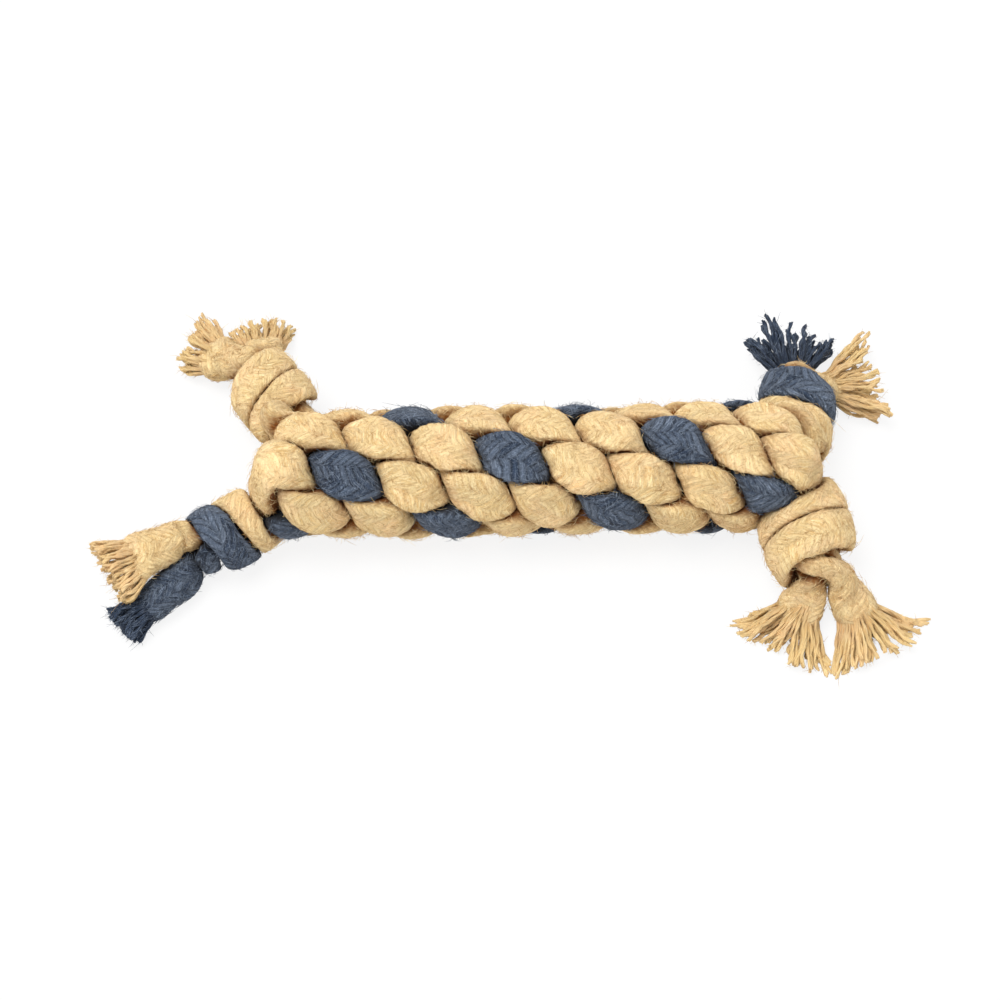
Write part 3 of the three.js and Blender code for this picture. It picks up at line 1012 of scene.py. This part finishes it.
def new_material(name):
    material = bpy.data.materials.new(name)
    material.use_nodes = True
    tree = material.node_tree
    return material, tree, tree.nodes["Principled BSDF"].inputs


def shaded(tree, colour, mask, share, shade):
    return mix_colour(tree, maths(tree, "MULTIPLY", mask, share), colour, shade)


def fibre_colour(tree, look, place, dark, middle, light, tints):
    colour = mix_colour(tree, look["Streak"], dark, middle)
    colour = mix_colour(tree, look["Wisp"], colour, light)
    for scale, tint in zip(CLOUD_SCALES, tints):
        cloud = ramp(tree, noise(tree, place, scale, 2.0), *CLOUD_EDGES)
        colour = shaded(tree, colour, cloud, CLOUD_SHARE, tint)
    return colour


def finish_surface(tree, surface, colour, height, bump):
    values = {"Height": height, "Distance": bump, "Strength": BUMP_STRENGTH}
    tree.links.new(add_node(tree, "ShaderNodeBump", **values).outputs[0], surface["Normal"])
    tree.links.new(colour, surface["Base Color"])
    surface["Roughness"].default_value = 0.9
    surface["Specular IOR Level"].default_value = 0.2
    surface["Sheen Weight"].default_value = 0.06


print("every finish starts from", len(CLOUD_SCALES), "clouds over its fibres")

# %% [markdown]
# On the braid the gaps between yarns are darker, as painted shade, and so is the skin where another
# cord presses it, partly as painted shade and partly because its fibres are brown there. A plain
# blend would leave a smooth band, so noise makes that border ragged, as the hairs do on the real
# one. Fine hairs cross the yarns too.

# %% Braid finish
YARN_BUMP = 0.5 * MM
YARN_FIBRES = 1.5
YARN_TONE_SHARE = 0.3
CROSSING_FINENESS = (520.0, 640.0)
CROSSING_SHARE = 0.4
RAGGED = 0.3
RAGGED_SCALE = 700.0
PRESSED_SHADE_EDGES = (-0.13, 0.18)


def braid_finish(name, shade_brown, gap_shade_share, **shades):
    material, tree, surface = new_material(name)
    places = add_node(tree, "ShaderNodeTexCoord").outputs
    place = places["Object"]
    look = use_group(tree, BRAIDED_YARNS, Cord_Map=places["UV"], Fineness=YARN_FIBRES)
    colour = fibre_colour(tree, look, place, **shades)
    colour = shaded(tree, colour, look["Yarn"], YARN_TONE_SHARE, shades["light"])
    # painted shade: the gaps between the yarns are darkened toward the shade brown
    colour = shaded(tree, colour, look["Gap Shade"], gap_shade_share, shade_brown)
    for fineness, shade in zip(CROSSING_FINENESS, (shade_brown, shades["light"])):
        hairs = use_group(tree, CROSSING_FIBRES, Place=place, Fineness=fineness)
        colour = shaded(tree, colour, hairs["Line"], CROSSING_SHARE, shade)
    # painted shade, mixed with the brown of the fibres, where another cord presses the skin
    pressed = add_node(tree, "ShaderNodeAttribute", {"attribute_name": "pressed"}).outputs["Fac"]
    edge = maths(tree, "MULTIPLY", noise(tree, place, RAGGED_SCALE, 2.0), RAGGED)
    pressed_shade = ramp(tree, maths(tree, "SUBTRACT", pressed, edge), *PRESSED_SHADE_EDGES)
    colour = mix_colour(tree, pressed_shade, colour, shade_brown)
    finish_surface(tree, surface, colour, look["Height"], YARN_BUMP)
    return material


print("the braid's relief in the finish is", YARN_BUMP / MM, "mm")

# %% Finish of the loose yarns and the hairs
FIBRE_BUMP = 0.2 * MM
LOOSE_FIBRES = 1.4
FIBRES_ROUND, FIBRES_ALONG = 3.0, 5.0
YARN_SHIFT = 260.0
ROOT_SHADE_EDGES = (0.8, 0.3)
ROOT_SHADE_SHARE = 0.25
HAIR_PATCH_SCALE = 420.0
HAIR_PATCH_EDGES = (0.35, 0.65)


def yarn_finish(name, shade_brown, **shades):
    material, tree, surface = new_material(name)
    places = add_node(tree, "ShaderNodeTexCoord").outputs
    along, around, _ = add_node(tree, "ShaderNodeSeparateXYZ", i0=places["UV"]).outputs
    fibres_round = maths(tree, "MULTIPLY", around, FIBRES_ROUND)
    fibres_along = maths(tree, "MULTIPLY", along, FIBRES_ALONG)
    turned = add_node(tree, "ShaderNodeCombineXYZ", i0=fibres_round, i1=fibres_along).outputs[0]
    shift = scaled(tree, places["Object"], YARN_SHIFT)
    both = add_node(tree, "ShaderNodeVectorMath", {"operation": "ADD"}, i0=turned, i1=shift)
    look = use_group(tree, FIBRE_STREAKS, Map=both.outputs[0], Fineness=LOOSE_FIBRES)
    colour = fibre_colour(tree, look, places["Object"], **shades)
    # painted shade: each yarn is darker towards its root, where the yarns crowd together
    colour = shaded(tree, colour, ramp(tree, along, *ROOT_SHADE_EDGES), ROOT_SHADE_SHARE, shade_brown)
    finish_surface(tree, surface, colour, look["Streak"], FIBRE_BUMP)
    return material


def hair_finish(name, root, tip):
    material, tree, surface = new_material(name)
    place = add_node(tree, "ShaderNodeTexCoord").outputs["Object"]
    # patches of hairs are darker brown, partly as painted shadow beside the pale hairs and partly
    # as darker fibres
    patch = ramp(tree, noise(tree, place, HAIR_PATCH_SCALE, 1.0), *HAIR_PATCH_EDGES)
    tree.links.new(mix_colour(tree, patch, root, tip), surface["Base Color"])
    surface["Roughness"].default_value = 0.55
    surface["Specular IOR Level"].default_value = 0.4
    return material


print("the shade at a yarn's root ends at", ROOT_SHADE_EDGES[0], "of its length")

# %% The two colours of jute
# the hollow brown of each set is painted shade in the gaps, creases and yarn roots, and the colour
# of the dark crossing hairs
JUTE_COLOURS = {
    "dark": srgb(218, 176, 110),
    "middle": srgb(251, 222, 164),
    "light": srgb(255, 236, 186),
    "shade_brown": srgb(142, 86, 34),
    "tints": (srgb(252, 210, 164), srgb(238, 208, 148)),
}
BLUE_COLOURS = {
    "dark": srgb(22, 30, 44),
    "middle": srgb(50, 64, 86),
    "light": srgb(154, 168, 188),
    "shade_brown": srgb(10, 13, 20),
    "tints": (srgb(52, 62, 80), srgb(44, 62, 86)),
}
FINISHES = {
    "natural_jute": (
        braid_finish("natural_jute_braid", gap_shade_share=0.25, **JUTE_COLOURS),
        yarn_finish("natural_jute_yarn", **JUTE_COLOURS),
        hair_finish("natural_jute_hair", srgb(172, 124, 66), srgb(255, 232, 178)),
    ),
    "blue_jute": (
        braid_finish("blue_jute_braid", gap_shade_share=0.75, **BLUE_COLOURS),
        yarn_finish("blue_jute_yarn", **BLUE_COLOURS),
        hair_finish("blue_jute_hair", srgb(36, 46, 62), srgb(132, 146, 164)),
    ),
}
print("finishes:", ", ".join(material.name for material in bpy.data.materials))

# %% Dress the cords and hand them to the frame
for name in CORDS:
    dye = "blue_jute" if name == "blue_cord" else "natural_jute"
    for piece, material in zip((SKINS[name], FRAYS[name], FLUFFS[name]), FINISHES[dye]):
        piece.data.materials.clear()
        piece.data.materials.append(material)
        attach(piece, "root")
    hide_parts(name)

# %% [markdown]
# A pale floor and soft light from above and behind, as in the photograph. To the camera the
# background is white, and the floor is mostly white too, so only a faint shadow is left.

# %% Floor and light
FLOOR_SIZE = 3.0
FLOOR_GREY = (0.85, 0.85, 0.85, 1)
FLOOR_WHITENESS = 0.85
WHITE = (1, 1, 1, 1)


def mix_shaders(tree, share, first, second, output):
    mix = add_node(tree, "ShaderNodeMixShader", i0=share, i1=first.outputs[0], i2=second.outputs[0])
    tree.links.new(mix.outputs[0], tree.nodes[output].inputs[0])


def make_floor():
    bm = bmesh.new()
    bmesh.ops.create_grid(bm, x_segments=1, y_segments=1, size=FLOOR_SIZE)
    mesh = bpy.data.meshes.new("floor")
    bm.to_mesh(mesh)
    bm.free()
    floor = new_piece(mesh)
    material, tree, surface = new_material("pale_floor")
    surface["Base Color"].default_value = FLOOR_GREY
    surface["Roughness"].default_value = 0.9
    glow = add_node(tree, "ShaderNodeEmission", Strength=1.0)
    seen = add_node(tree, "ShaderNodeLightPath").outputs["Is Camera Ray"]
    share = maths(tree, "MULTIPLY", seen, FLOOR_WHITENESS)
    mix_shaders(tree, share, tree.nodes["Principled BSDF"], glow, "Material Output")
    mesh.materials.append(material)


def make_world(strength):
    world = bpy.data.worlds.new("soft_room")
    bpy.context.scene.world = world
    world.use_nodes = True
    tree = world.node_tree
    soft = tree.nodes["Background"]
    soft.inputs["Strength"].default_value = strength
    soft.inputs["Color"].default_value = WHITE
    white = add_node(tree, "ShaderNodeBackground", Strength=1.0, Color=WHITE)
    path = add_node(tree, "ShaderNodeLightPath").outputs
    seen = maths(tree, "MAXIMUM", path["Is Camera Ray"], path["Is Glossy Ray"])
    seen = maths(tree, "MAXIMUM", seen, path["Is Transmission Ray"])
    mix_shaders(tree, seen, soft, white, "World Output")


def make_sun(name, energy, angle, way):
    sun = bpy.data.objects.new(name, bpy.data.lights.new(name, "SUN"))
    bpy.context.scene.collection.objects.link(sun)
    sun.data.energy = energy
    sun.data.angle = math.radians(angle)
    sun.rotation_euler = Vector(way).to_track_quat("Z", "Y").to_euler()


make_floor()
make_world(strength=0.77)
make_sun("window", energy=2.2, angle=35, way=(-0.3, 0.1, 0.95))
bpy.context.scene.view_settings.view_transform = "Standard"
print("floor and light are in place")
